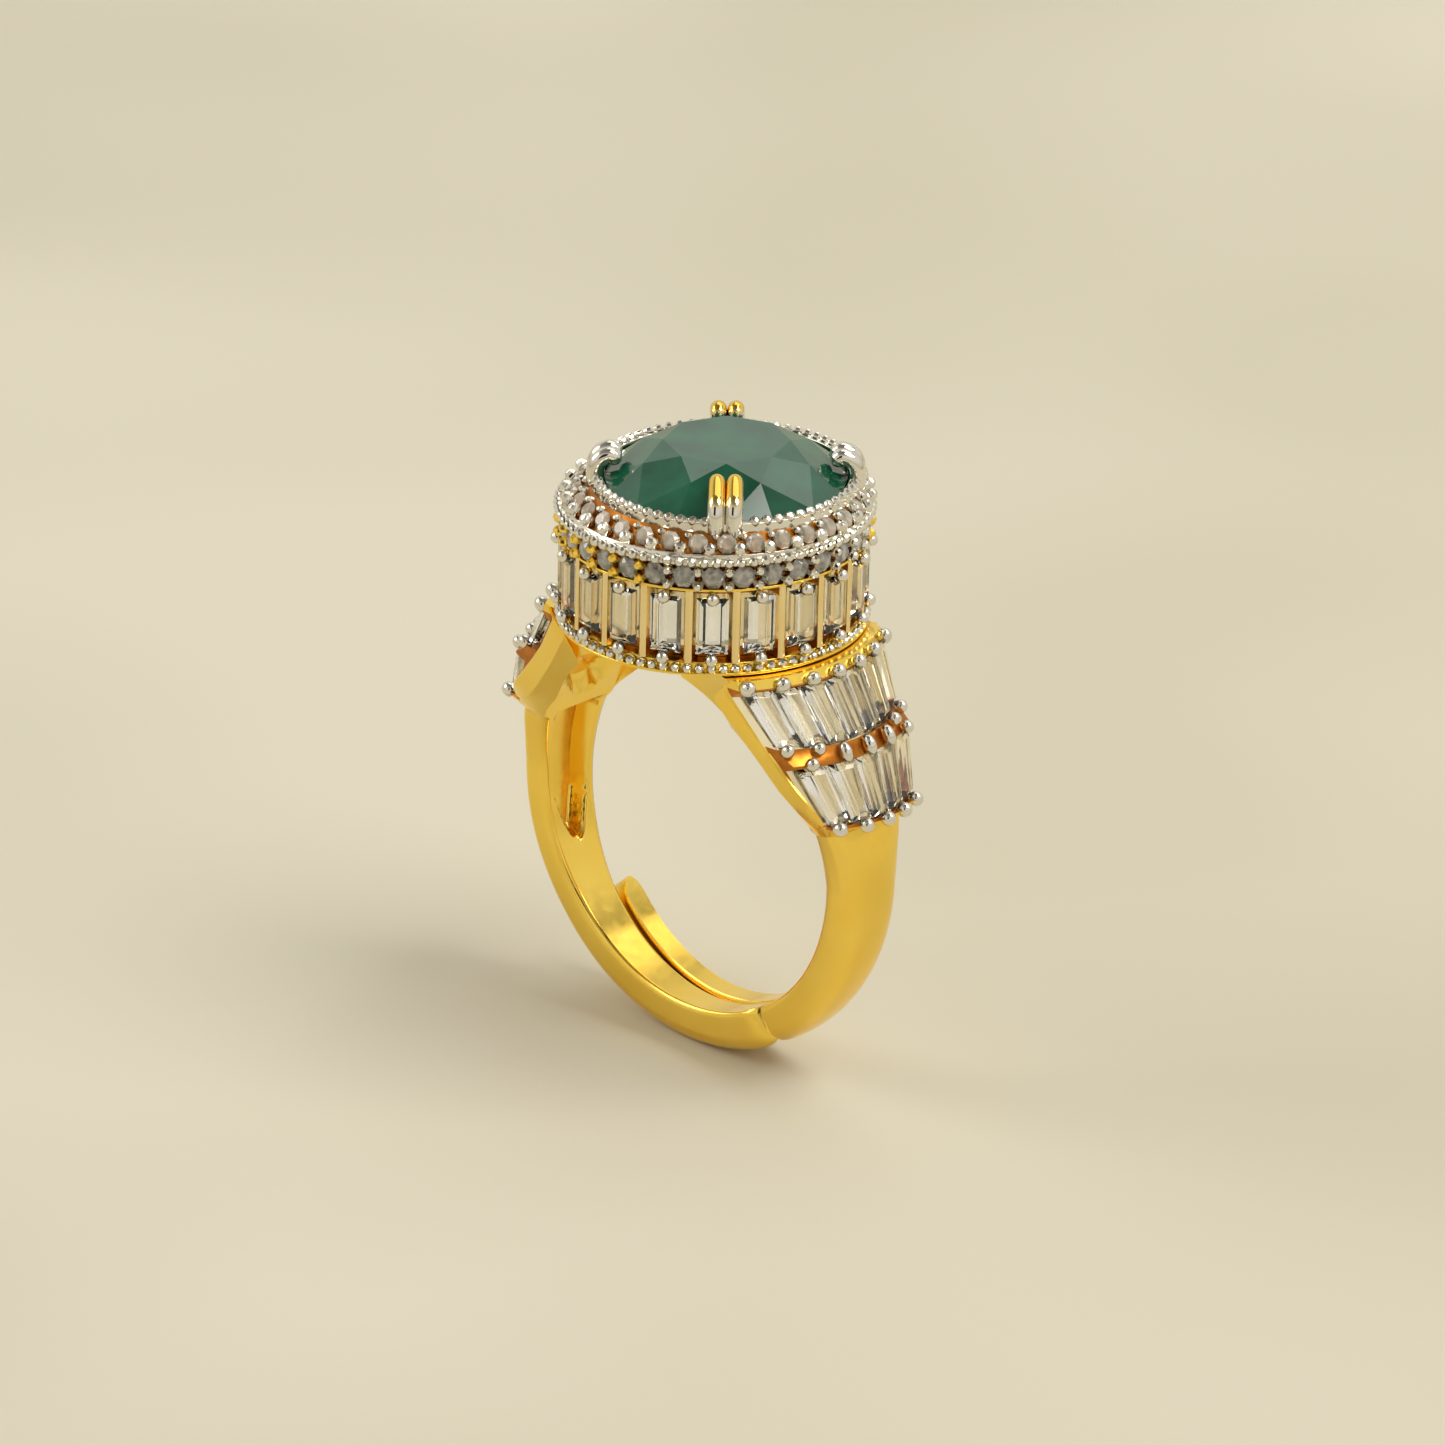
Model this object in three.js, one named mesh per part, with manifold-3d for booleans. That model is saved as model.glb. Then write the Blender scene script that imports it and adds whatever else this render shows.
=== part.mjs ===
// Cocktail ring with an adjustable open shank: a tall round head with one large round stone,
// two tapering shoulders set with baguettes, and two arms that pass side by side under the finger.
// Millimetres. Origin at the centre of the finger hole, +Z towards the stone, +Y along the finger.
import * as THREE from 'three';
import Module from 'manifold-3d';

const wasm = await Module();
wasm.setup();

// ---------- driving dimensions ----------
const fingerRadius = 8.75;
const shankThickness = 1.7;
const shankBottomExtra = 0.15;          // the shank is a little thicker under the finger
const fitGap = 0.05;                    // between set pieces of the head

const headOval = 1.018;                 // the head is this much longer along the finger than round
const headSegments = 64;
const drumInner = 5.5;
const drumOuter = 6.72;
const drumFloor = 6.2;                  // bottom of the recesses behind the gallery stones
const baseRim = { low: 9.9, lip: 10.02, high: 10.38, lipRadius: 6.92, wallRadius: 6.58 };
const galleryTop = 13.77;
const paveTop = 15.08;
const haloRim = { radius: 6.98, low: 15.12, high: 15.4, flat: 6.68, flatTop: 15.52 };
const bezel = { outer: 5.95, inner: 5.5, seat: 5.2, top: 16.62, seatTop: 15.9 };

const stoneRadius = 5.42;
const girdle = { low: 16.25, high: 16.5 };
const tableRadius = 2.8;
const tableTop = 18.2;
const starRadius = 3.95;
const pavilionDepth = 4.4;

const galleryCount = 20;
const galleryStone = { width: 1.42, length: 2.62, depth: 0.58, inset: 0.3 };

const claw = { radius: 0.4, tipRadius: 0.36, spread: 0.36 };

// A shoulder's outside follows two straight tiers, each given by its upper and lower corner (x, z),
// how far the middle stands out beyond the edges, and its half width along the finger.
const upperTier = {
  from: [7.71, 9.63], to: [9.51, 7.0], bulge: [1.52, 1.71], half: [4.6, 4.05], stones: 7,
};
const lowerTier = {
  from: [9.75, 6.51], to: [10.94, 3.62], bulge: [0.99, 0.92], half: [3.75, 2.95], stones: 5,
};
const tableSink = 0.1;                  // stone faces below the tier line
const railSink = 0.2;                   // metal edges below the tier line
const railWidth = 0.16;
const wallDepth = 1.15;                 // height of the upright part of the side walls
const wallFlare = 0.1;
const seatDepth = 0.95;
const seatRange = [0.05, 0.95];          // part of the tier's length that is cut out for the stones
const stoneRange = [0.08, 0.92];
const shoulderStone = { depth: 0.52, inset: 0.27, gap: 0.1 };

// Half width of the finger side of the ring against the angle from +X, in degrees
const innerWidth = [[-145, 1.35], [-75, 1.4], [-45, 1.5], [0, 1.62], [15, 1.95], [24, 2.34],
  [37, 2.93], [50, 3.43], [62, 3.7], [78, 3.78]];
const shoulderEnds = [17, 78];
const armTop = 15.4;
// Each arm's two edges along the finger against the angle; the arms pass each other on a slant
const rightArm = {
  edges: [[15.4, -1.97, 1.97], [0, -1.64, 1.64], [-30, -1.55, 1.55], [-56.2, -1.45, 1.45],
    [-57.4, 0.15, 1.45], [-90, 0.5, 1.7], [-120, 0.85, 2.05], [-139, 1.1, 2.3]],
};
const leftArm = {
  edges: [[15.4, -1.97, 1.97], [0, -1.66, 1.64], [-20, -1.3, 1.6], [-41, -0.85, 1.5],
    [-60, -0.6, 1.5], [-90, -0.25, 1.45], [-121.5, 0.12, 1.4]],
};
const armWindow = { from: 13, to: -21, depth: 0.6 };
const settingShift = [0.32, 0.31];      // the bezel, stone and claws sit this far off the drum's centre

// ---------- materials ----------
const metal = (color, roughness) => new THREE.MeshStandardMaterial({ color, roughness, metalness: 1 });
const gem = (color) => new THREE.MeshStandardMaterial({ color, roughness: 0.05, metalness: 0 });
const gold = metal(0xe6b440, 0.2);
const whitePlate = metal(0xe9e6dc, 0.18);
const clearStone = gem(0xf1efe8);
const greenStone = gem(0x1d5a42);

// ---------- small geometry tools ----------
const rad = THREE.MathUtils.degToRad;
const lerp = THREE.MathUtils.lerp;
const vec = (x, y, z) => new THREE.Vector3(x, y, z);

function interpolate(table, x) {
  const last = table.length - 1;
  if (x <= table[0][0]) return table[0][1];
  if (x >= table[last][0]) return table[last][1];
  const i = table.findIndex((row) => row[0] >= x);
  const [x0, y0] = table[i - 1];
  const [x1, y1] = table[i];
  return lerp(y0, y1, (x - x0) / (x1 - x0));
}

// Indexed geometry from points and flat faces, with the faces turned to point outwards
function geometryFrom(points, faces) {
  const index = [];
  for (const face of faces) {
    for (let k = 1; k < face.length - 1; k++) index.push(face[0], face[k], face[k + 1]);
  }
  let volume = 0;
  const cross = new THREE.Vector3();
  for (let k = 0; k < index.length; k += 3) {
    cross.crossVectors(points[index[k + 1]], points[index[k + 2]]);
    volume += points[index[k]].dot(cross);
  }
  if (volume < 0) index.reverse();
  const geometry = new THREE.BufferGeometry();
  const coordinates = points.flatMap((p) => [p.x, p.y, p.z]);
  geometry.setAttribute('position', new THREE.Float32BufferAttribute(coordinates, 3));
  geometry.setIndex(index);
  return geometry;
}

// Skin over rings of equally many points; open ends are capped, a loop joins its last ring to its first
function skin(rings, loop = false) {
  const sides = rings[0].length;
  const count = rings.length;
  const faces = [];
  for (let i = 0; i < (loop ? count : count - 1); i++) {
    const a = i * sides;
    const b = ((i + 1) % count) * sides;
    for (let j = 0; j < sides; j++) {
      const k = (j + 1) % sides;
      faces.push([a + j, a + k, b + k, b + j]);
    }
  }
  if (!loop) {
    const indices = [...Array(sides).keys()];
    faces.push(indices.slice().reverse());
    faces.push(indices.map((j) => (count - 1) * sides + j));
  }
  return geometryFrom(rings.flat(), faces);
}

// Closed block between two grids of points of the same size
function slab(over, under) {
  const rows = over.length;
  const columns = over[0].length;
  const top = (i, j) => i * columns + j;
  const low = (i, j) => (rows + i) * columns + j;
  const faces = [];
  for (let i = 0; i < rows - 1; i++) {
    for (let j = 0; j < columns - 1; j++) {
      faces.push([top(i, j), top(i, j + 1), top(i + 1, j + 1), top(i + 1, j)]);
      faces.push([low(i, j), low(i + 1, j), low(i + 1, j + 1), low(i, j + 1)]);
    }
  }
  const border = [];
  for (let j = 0; j < columns - 1; j++) border.push([0, j]);
  for (let i = 0; i < rows - 1; i++) border.push([i, columns - 1]);
  for (let j = columns - 1; j > 0; j--) border.push([rows - 1, j]);
  for (let i = rows - 1; i > 0; i--) border.push([i, 0]);
  border.forEach((p, k) => {
    const q = border[(k + 1) % border.length];
    faces.push([top(...q), top(...p), low(...p), low(...q)]);
  });
  return geometryFrom([...over.flat(), ...under.flat()], faces);
}

// Ring of revolution about Z from a closed (radius, z, share) outline; share is how much of the
// setting's shift a point takes
function turned(outline, angles) {
  const [dx, dy] = settingShift;
  const rings = angles.map((angle) => {
    const c = Math.cos(angle);
    const s = Math.sin(angle);
    return outline.map(([r, z, share = 0]) => vec(r * c + share * dx, r * s + share * dy, z));
  });
  return skin(rings, true);
}

const evenAngles = (count) => Array.from({ length: count }, (_, i) => (i * 2 * Math.PI) / count);

function toSolid(geometry) {
  return new wasm.Manifold(new wasm.Mesh({
    numProp: 3,
    vertProperties: new Float32Array(geometry.attributes.position.array),
    triVerts: new Uint32Array(geometry.index.array),
  }));
}

function fromSolid(solid) {
  const mesh = solid.getMesh();
  const geometry = new THREE.BufferGeometry();
  geometry.setAttribute('position', new THREE.Float32BufferAttribute(mesh.vertProperties, 3));
  geometry.setIndex(Array.from(mesh.triVerts));
  return geometry;
}

const ring = new THREE.Group();
ring.name = 'cocktail_ring';

function addPiece(name, geometry, material, group = ring) {
  geometry.computeVertexNormals();
  const mesh = new THREE.Mesh(geometry, material);
  mesh.name = name;
  group.add(mesh);
  return mesh;
}

// Step-cut stone: its four girdle corners are given at the height of the table, out points away from
// the setting, and each layer is drawn in along its own edges and set down by its share of the depth
function stepCut(corners, out, depth, inset) {
  const layers = [[1, 1], [0, 0.55], [0, 0.45], [0.45, 0.2], [1, 0]];
  return skin(layers.map(([cut, drop]) => corners.map((corner, i) => {
    const toNext = corners[(i + 1) % 4].clone().sub(corner).normalize();
    const toLast = corners[(i + 3) % 4].clone().sub(corner).normalize();
    return corner.clone()
      .addScaledVector(toNext.add(toLast), cut * inset)
      .addScaledVector(out, -drop * depth);
  })));
}

// ---------- head: rims, gallery and bezel ----------
const head = new THREE.Group();
head.scale.set(1 / headOval, headOval, 1);
ring.add(head);
const setting = new THREE.Group();
setting.position.set(settingShift[0], settingShift[1], 0);
head.add(setting);
const around = evenAngles(headSegments);

addPiece('base_rim', turned([
  [drumInner, baseRim.low],
  [baseRim.lipRadius, baseRim.low],
  [baseRim.lipRadius, baseRim.lip],
  [baseRim.wallRadius, baseRim.lip + 0.04],
  [baseRim.wallRadius, baseRim.high],
  [drumInner, baseRim.high],
], around), gold, head);

// Upright bars alternate with flat-floored recesses; the small step between them is nearly radial
function galleryAngles() {
  const recess = Math.atan((galleryStone.width / 2 + 0.06) / drumFloor);
  const wall = rad(0.25);
  return Array.from({ length: galleryCount }, (_, i) => {
    const middle = rad(45) + (i * 2 * Math.PI) / galleryCount;
    return [
      { angle: middle - recess - wall, outer: drumOuter },
      { angle: middle - recess, outer: drumFloor / Math.cos(recess) },
      { angle: middle + recess, outer: drumFloor / Math.cos(recess) },
      { angle: middle + recess + wall, outer: drumOuter },
    ];
  }).flat();
}
const galleryStations = galleryAngles();
const galleryRings = galleryStations.map(({ angle, outer }) => {
  const low = baseRim.high + fitGap;
  return [[drumInner, low], [outer, low], [outer, galleryTop], [drumInner, galleryTop]]
    .map(([r, z]) => vec(r * Math.cos(angle), r * Math.sin(angle), z));
});
addPiece('gallery_frame', skin(galleryRings, true), gold, head);

addPiece('pave_band', turned([
  [drumInner, galleryTop + fitGap],
  [drumOuter, galleryTop + fitGap],
  [drumOuter, paveTop],
  [drumInner, paveTop],
], around), gold, head);

addPiece('halo_plate', turned([
  [bezel.outer + fitGap, haloRim.low, 1],
  [haloRim.radius, haloRim.low],
  [haloRim.radius, haloRim.high],
  [haloRim.flat, haloRim.flatTop],
  [bezel.outer + fitGap, bezel.top - 0.1, 1],
], around), whitePlate, head);

addPiece('bezel_rim', turned([
  [bezel.seat, haloRim.low],
  [bezel.outer, haloRim.low],
  [bezel.outer, bezel.top],
  [bezel.inner, bezel.top],
  [bezel.inner, bezel.seatTop + 0.2],
  [bezel.seat, bezel.seatTop],
], around), gold, setting);

// ---------- centre stone: round brilliant with an eight-sided table ----------
function brilliant() {
  const points = [];
  const circle = (count, radius, z, turn = 0) => {
    const first = points.length;
    for (let i = 0; i < count; i++) {
      const a = (i + turn) * 2 * Math.PI / count;
      points.push(vec(radius * Math.cos(a), radius * Math.sin(a), z));
    }
    return (i) => first + ((i % count) + count) % count;
  };
  const starReach = starRadius * Math.cos(Math.PI / 8);
  const crownDrop = (tableTop - girdle.high) / (stoneRadius - tableRadius);
  const starTop = tableTop - crownDrop * (starReach - tableRadius);
  const keelSlope = pavilionDepth / stoneRadius;
  const halfRadius = 0.3 * stoneRadius;
  const halfDrop = keelSlope * (stoneRadius - halfRadius * Math.cos(Math.PI / 8));
  const table = circle(8, tableRadius, tableTop);
  const star = circle(8, starRadius, starTop, 0.5);
  const upper = circle(16, stoneRadius, girdle.high);
  const lower = circle(16, stoneRadius, girdle.low);
  const half = circle(8, halfRadius, girdle.low - halfDrop, 0.5);
  const culet = points.push(vec(0, 0, girdle.low - pavilionDepth)) - 1;
  const faces = [[...Array(8).keys()].map(table)];
  for (let i = 0; i < 8; i++) {
    faces.push([table(i), star(i), table(i + 1)]);
    faces.push([table(i), star(i - 1), upper(2 * i), star(i)]);
    faces.push([star(i), upper(2 * i), upper(2 * i + 1)]);
    faces.push([star(i), upper(2 * i + 1), upper(2 * i + 2)]);
    faces.push([half(i), lower(2 * i + 1), lower(2 * i)]);
    faces.push([half(i), lower(2 * i + 2), lower(2 * i + 1)]);
    faces.push([culet, half(i), lower(2 * i), half(i - 1)]);
  }
  for (let i = 0; i < 16; i++) faces.push([upper(i), lower(i), lower(i + 1), upper(i + 1)]);
  // A convex stone's faces all point away from its middle
  const middle = vec(0, 0, (girdle.low + girdle.high) / 2);
  for (const face of faces) {
    const [a, b, c] = face.map((i) => points[i]);
    const normal = b.clone().sub(a).cross(c.clone().sub(a));
    if (normal.dot(a.clone().sub(middle)) < 0) face.reverse();
  }
  return geometryFrom(points, faces);
}
addPiece('centre_stone', brilliant(), greenStone, setting);

// ---------- split claws on the diagonals ----------
// Path of a prong in the (radius, z) plane, from the bezel's top edge over onto the crown
function prongPath(reach) {
  const crownSlope = (tableTop - girdle.high) / (stoneRadius - tableRadius);
  const tipHeight = girdle.high + crownSlope * (stoneRadius - reach) + 0.25;
  return new THREE.CatmullRomCurve3([
    vec(5.6, 0, 16.3), vec(5.62, 0, 16.95), vec(5.5, 0, 17.35), vec(5.15, 0, 17.56),
    vec(reach + 0.3, 0, tipHeight + 0.18), vec(reach, 0, tipHeight),
  ]);
}

function prong(side, path) {
  const steps = 14;
  const sides = 10;
  const rings = [];
  for (let i = 0; i <= steps; i++) {
    const t = i / steps;
    const centre = path.getPoint(t);
    const forward = path.getTangent(t);
    const across = vec(0, 1, 0);
    const up = forward.clone().cross(across).normalize();
    const rounding = t > 0.86 ? Math.sqrt(Math.max(0, 1 - ((t - 0.86) / 0.15) ** 2)) : 1;
    const radius = lerp(claw.radius, claw.tipRadius, t) * Math.max(rounding, 0.3);
    const ringPoints = [];
    for (let j = 0; j < sides; j++) {
      const a = (j * 2 * Math.PI) / sides;
      ringPoints.push(centre.clone()
        .addScaledVector(across, side * claw.spread + radius * Math.cos(a))
        .addScaledVector(up, radius * Math.sin(a)));
    }
    rings.push(ringPoints);
  }
  return skin(rings);
}

// What the claws lie on, grown by the fit gap: halo slope, bezel and crown
const crownAbove = girdle.high + fitGap * 1.4;
const clawBed = toSolid(turned([
  [0.01, 12],
  [7.2, 12],
  [7.2, haloRim.high + fitGap],
  [haloRim.flat, haloRim.flatTop + fitGap],
  [bezel.outer + 0.08, bezel.top - 0.04],
  [bezel.outer + 0.06, bezel.top + fitGap],
  [stoneRadius, bezel.top + fitGap],
  [stoneRadius, crownAbove],
  [tableRadius, tableTop + fitGap * 1.4],
  [0.01, tableTop + fitGap * 1.4],
], around));
// Name and how close to the stone's middle the tips come
const claws = [
  ['claw_back_right', 4.6],
  ['claw_back_left', 4.6],
  ['claw_front_left', 4.6],
  ['claw_front_right', 3.95],
];
claws.forEach(([name, reach], i) => {
  const path = prongPath(reach);
  const pair = toSolid(prong(1, path)).add(toSolid(prong(-1, path))).subtract(clawBed);
  const piece = addPiece(name, fromSolid(pair), whitePlate, setting);
  piece.rotation.z = rad(45) + (i * 2 * Math.PI) / claws.length;
});

// ---------- gallery baguettes ----------
for (let i = 0; i < galleryCount; i++) {
  const angle = rad(45) + (i * 2 * Math.PI) / galleryCount;
  const { width, length, depth, inset } = galleryStone;
  const out = vec(Math.cos(angle), Math.sin(angle), 0);
  const across = vec(-Math.sin(angle), Math.cos(angle), 0);
  const centre = out.clone().multiplyScalar(drumFloor + fitGap + depth);
  centre.z = (baseRim.high + galleryTop) / 2 + 0.1;
  const corners = [[-1, -1], [1, -1], [1, 1], [-1, 1]].map(([u, v]) => centre.clone()
    .addScaledVector(across, (u * width) / 2)
    .setZ(centre.z + (v * length) / 2));
  const name = `gallery_stone_${String(i + 1).padStart(2, '0')}`;
  addPiece(name, stepCut(corners, out, depth, inset), clearStone, head);
}

// ---------- shoulders ----------
const tierPoint = (tier, s) => [lerp(tier.from[0], tier.to[0], s), lerp(tier.from[1], tier.to[1], s)];

function tierNormal(tier) {
  const dx = tier.to[0] - tier.from[0];
  const dz = tier.to[1] - tier.from[1];
  const length = Math.hypot(dx, dz);
  return [-dz / length, dx / length];
}

// Point on a tier, s down its length and y along the finger, sunk below the tier line
function onTier(tier, s, y, sink) {
  const [x, z] = tierPoint(tier, s);
  const [nx, nz] = tierNormal(tier);
  const bulge = lerp(tier.bulge[0], tier.bulge[1], s);
  const half = lerp(tier.half[0], tier.half[1], s);
  return vec(x - sink * nx - bulge * (y / half) ** 2, y, z - sink * nz);
}

const domePoints = 9;
const acrossDome = Array.from({ length: domePoints }, (_, i) => 1 - (2 * i) / (domePoints - 1));

function innerEdge(angle, radius = fingerRadius, narrower = 0) {
  const half = interpolate(innerWidth, angle) - narrower;
  const x = radius * Math.cos(rad(angle));
  const z = radius * Math.sin(rad(angle));
  return [vec(x, -half, z), vec(x, half, z)];
}

function flatSection(angle, x, z, half, bulge) {
  const [back, front] = innerEdge(angle);
  const outside = acrossDome.map((t) => vec(x - bulge * t * t, t * half, z));
  const side = (inner, outer) => inner.clone().lerp(outer, 0.6);
  return [back, front, side(front, outside[0]), ...outside, side(back, outside.at(-1))];
}

// The side walls drop almost straight from the rails before they draw in to the finger side
function tierSection(angle, tier, s) {
  const half = lerp(tier.half[0], tier.half[1], s);
  const side = (t) => onTier(tier, s, t * (half + wallFlare), wallDepth);
  const outside = acrossDome.map((t) => onTier(tier, s, t * (half + railWidth), railSink));
  return [...innerEdge(angle), side(1), ...outside, side(-1)];
}

function shoulderBody() {
  const ledge = baseRim.low - fitGap;
  const [low, high] = shoulderEnds;
  return skin([
    flatSection(high, 1.9, ledge, 3.9, 0),
    flatSection(69, 3.6, ledge, 4.25, 0),
    flatSection(60, 5.2, ledge, 4.6, 0),
    flatSection(55, 7.3, ledge, 4.75, 1.5),
    tierSection(52, upperTier, 0.02),
    tierSection(45, upperTier, 0.5),
    tierSection(38.5, upperTier, 1),
    tierSection(36.5, lowerTier, 0),
    tierSection(27, lowerTier, 0.5),
    tierSection(19, lowerTier, 1),
    flatSection(low, 10.15, 3.06, 2.35, 0.45),
  ]);
}

// Channel that the stones of a tier sit in
function seatCutter(tier) {
  const domeRow = (s, sink) => {
    const half = lerp(tier.half[0], tier.half[1], s);
    return acrossDome.map((t) => onTier(tier, s, t * half, sink));
  };
  const stations = [seatRange[0], 0.5, seatRange[1]];
  return toSolid(slab(stations.map((s) => domeRow(s, -1)), stations.map((s) => domeRow(s, seatDepth))));
}

// Hollow behind a tier, open to the finger side
function hollowCutter(fromAngle, toAngle, depth) {
  const steps = 4;
  const rings = [];
  for (let i = 0; i <= steps; i++) {
    const angle = lerp(fromAngle, toAngle, i / steps);
    const [a, b] = innerEdge(angle, fingerRadius - 0.6, 0.55);
    const [c, d] = innerEdge(angle, fingerRadius + depth, 0.7);
    rings.push([a, b, d, c]);
  }
  return toSolid(skin(rings));
}

const shoulderSolid = toSolid(shoulderBody())
  .subtract(seatCutter(upperTier))
  .subtract(seatCutter(lowerTier))
  .subtract(hollowCutter(61, 23, 0.6));

// Stone i of a tier covers its share of the width, from the top of the seat to the bottom
function tierStone(tier, i) {
  const { depth, inset, gap } = shoulderStone;
  const corner = (s, k, trim) => {
    const half = lerp(tier.half[0], tier.half[1], s);
    return onTier(tier, s, half * ((2 * k) / tier.stones - 1) + trim, tableSink);
  };
  const [s0, s1] = stoneRange;
  const corners = [
    corner(s1, i, gap / 2),
    corner(s1, i + 1, -gap / 2),
    corner(s0, i + 1, -gap / 2),
    corner(s0, i, gap / 2),
  ];
  const out = corners[2].clone().sub(corners[0]).cross(corners[3].clone().sub(corners[1])).normalize();
  if (out.x < 0) out.negate();
  return stepCut(corners, out, depth, inset);
}

for (const [side, turn] of [['right', 0], ['left', Math.PI]]) {
  const shoulder = new THREE.Group();
  shoulder.rotation.z = turn;
  ring.add(shoulder);
  addPiece(`shoulder_${side}`, fromSolid(shoulderSolid), gold, shoulder);
  for (const [row, tier] of [['upper', upperTier], ['lower', lowerTier]]) {
    for (let i = 0; i < tier.stones; i++) {
      addPiece(`${side}_${row}_stone_${i + 1}`, tierStone(tier, i), clearStone, shoulder);
    }
  }
}

// ---------- open shank: two arms that pass side by side ----------
// Rounded section between two y limits; the outside is domed and the finger side is flat
function armSection(angle, yLow, yHigh, thickness) {
  const middle = (yLow + yHigh) / 2;
  const half = (yHigh - yLow) / 2;
  const outline = [[-1, 0.12], [-0.82, 0], [0.82, 0], [1, 0.12], [1, 0.55], [0.86, 0.8],
    [0.55, 0.94], [0, 1], [-0.55, 0.94], [-0.86, 0.8], [-1, 0.55]];
  return outline.map(([across, up]) => {
    const r = fingerRadius + up * thickness;
    return vec(r * Math.cos(rad(angle)), middle + across * half, r * Math.sin(rad(angle)));
  });
}

// An arm's section is carried round the finger between its two edges, to a rounded tip; a shallow
// window is sunk into its finger side
function arm({ edges }) {
  const thick = (angle) => shankThickness + shankBottomExtra * Math.max(0, -Math.sin(rad(angle)));
  const lowEdge = edges.map((row) => [row[0], row[1]]).reverse();
  const highEdge = edges.map((row) => [row[0], row[2]]).reverse();
  const tip = edges.at(-1)[0];
  const roundAngle = 5;
  const stepAngle = 6;
  const breaks = edges.map((row) => row[0]);
  breaks[breaks.length - 1] += roundAngle;
  const angles = [breaks[0]];
  for (let i = 1; i < breaks.length; i++) {
    const steps = Math.ceil((breaks[i - 1] - breaks[i]) / stepAngle);
    for (let k = 1; k <= steps; k++) angles.push(lerp(breaks[i - 1], breaks[i], k / steps));
  }
  const stations = angles.map((angle) => {
    return armSection(angle, interpolate(lowEdge, angle), interpolate(highEdge, angle), thick(angle));
  });
  for (const t of [0.45, 0.75, 0.93, 1]) {
    const angle = tip + roundAngle * (1 - t);
    const low = interpolate(lowEdge, angle);
    const high = interpolate(highEdge, angle);
    const reach = ((high - low) / 2) * Math.max(Math.sqrt(1 - t * t), 0.25);
    stations.push(armSection(angle, (low + high) / 2 - reach, (low + high) / 2 + reach, thick(angle)));
  }
  const { from, to, depth } = armWindow;
  return fromSolid(toSolid(skin(stations)).subtract(hollowCutter(from, to, depth)));
}

addPiece('right_arm', arm(rightArm), gold);
const leftPiece = addPiece('left_arm', arm(leftArm), gold);
leftPiece.rotation.z = Math.PI;

export default ring;
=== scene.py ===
import math
import bmesh
import bpy
import numpy as np
from mathutils import Matrix, Vector


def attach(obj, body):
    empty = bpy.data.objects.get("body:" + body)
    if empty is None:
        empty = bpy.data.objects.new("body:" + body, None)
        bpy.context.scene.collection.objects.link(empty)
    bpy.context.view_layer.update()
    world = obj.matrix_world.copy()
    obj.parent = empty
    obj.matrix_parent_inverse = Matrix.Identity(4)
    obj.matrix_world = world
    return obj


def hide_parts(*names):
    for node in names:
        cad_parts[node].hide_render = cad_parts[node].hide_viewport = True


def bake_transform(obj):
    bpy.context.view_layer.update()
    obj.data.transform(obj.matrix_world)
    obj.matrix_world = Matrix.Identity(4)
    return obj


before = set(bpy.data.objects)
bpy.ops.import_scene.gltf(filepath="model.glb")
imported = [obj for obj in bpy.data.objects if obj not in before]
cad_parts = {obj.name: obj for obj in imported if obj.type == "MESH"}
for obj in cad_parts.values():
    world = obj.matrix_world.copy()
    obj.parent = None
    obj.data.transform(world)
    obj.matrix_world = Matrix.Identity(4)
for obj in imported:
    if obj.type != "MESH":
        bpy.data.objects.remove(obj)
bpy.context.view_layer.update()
mm = 0.001
print("frame loaded")


# small tools
def toLinear(hexText):
    # sRGB hex to linear light, channel by channel on the standard curve
    c = np.array([int(hexText[i:i + 2], 16) / 255 for i in (1, 3, 5)])
    return (*np.where(c <= 0.04045, c / 12.92, ((c + 0.055) / 1.055) ** 2.4).tolist(), 1.0)


def addNode(tree, kind, values=None, links=None, **settings):
    node = tree.nodes.new(kind)
    for key, value in settings.items():
        setattr(node, key, value)
    for key, value in (values or {}).items():
        node.inputs[key].default_value = value
    for key, socket in (links or {}).items():
        tree.links.new(socket, node.inputs[key])
    return node


def lerp(a, b, t):
    return a + (b - a) * t


def smooth(t):
    # 0 to 1 with level ends: 3t^2 - 2t^3
    t = np.clip(t, 0, 1)
    return t * t * (3 - 2 * t)


def unit(v):
    return v / np.linalg.norm(v, axis=-1, keepdims=True)


def gridFaces(rows, columns, loopRows=False, loopColumns=False):
    # quads between neighbouring rows and columns; a loop joins the last to the first
    i, j = np.meshgrid(np.arange(rows if loopRows else rows - 1),
                       np.arange(columns if loopColumns else columns - 1), indexing="ij")
    i2, j2 = (i + 1) % rows, (j + 1) % columns
    corners = [i * columns + j, i * columns + j2, i2 * columns + j2, i2 * columns + j]
    return np.stack(corners, -1).reshape(-1, 4)


def catmull(points, steps):
    # Catmull-Rom curve through the points: half the sum of four weighted neighbours
    p = np.asarray(points, float)
    q = np.concatenate([2 * p[:1] - p[1:2], p, 2 * p[-1:] - p[-2:-1]])
    t = (np.arange(steps) / steps)[None, :, None]
    a, b, c, d = (q[k:len(q) - 3 + k][:, None, :] for k in range(4))
    curve = 0.5 * (2 * b + (c - a) * t + (2 * a - 5 * b + 4 * c - d) * t**2
                   + (3 * b - a - 3 * c + d) * t**3)
    return np.concatenate([curve.reshape(-1, p.shape[1]), p[-1:]])


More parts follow.
